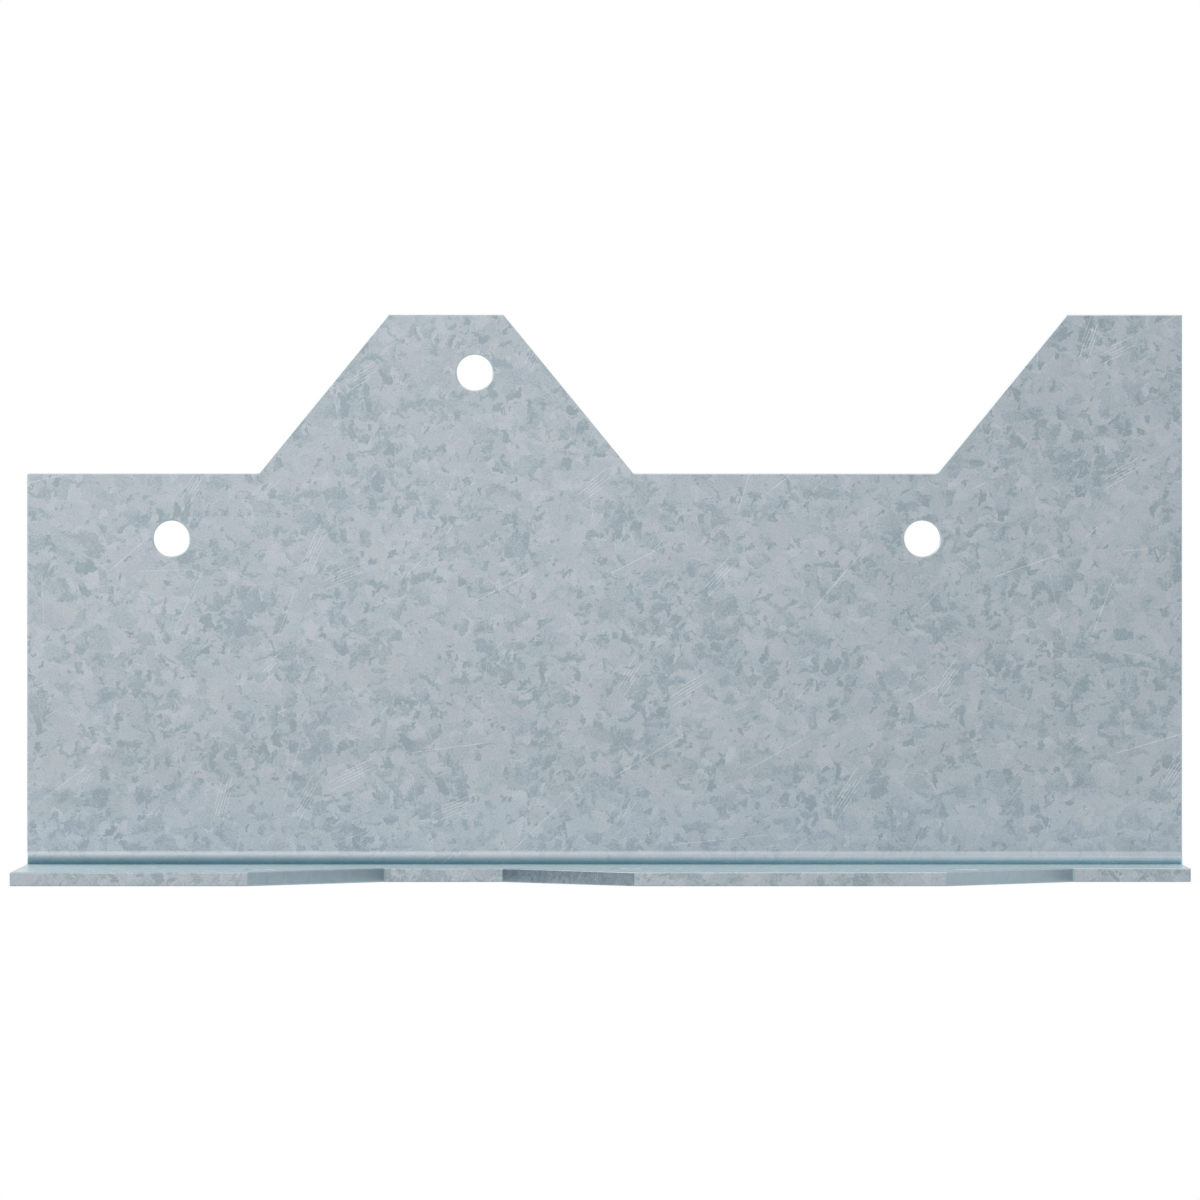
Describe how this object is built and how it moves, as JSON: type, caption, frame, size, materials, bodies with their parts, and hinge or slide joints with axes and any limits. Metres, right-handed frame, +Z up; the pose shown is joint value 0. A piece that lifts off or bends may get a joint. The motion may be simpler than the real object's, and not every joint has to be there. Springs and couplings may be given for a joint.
{
  "type": "reinforcing angle",
  "caption": "Folded galvanised sheet-steel angle with zigzag free edges on both legs and punched nail holes, for tying two timber members at a corner.",
  "frame": {"origin": "middle of the part's box, on the plane that the base leg's underside lies on", "axes": "+X along the fold, +Y from the base leg's free edge towards the upright leg's back, +Z up the upright leg"},
  "size_m": [0.127, 0.0366, 0.0619],
  "materials": {
    "galvanised_steel": "hot-dip zinc with a fine spangle, satin, lightly scratched"
  },
  "bodies": {
    "root": {"reinforcing_angle": "galvanised_steel"}
  },
  "joints": []
}
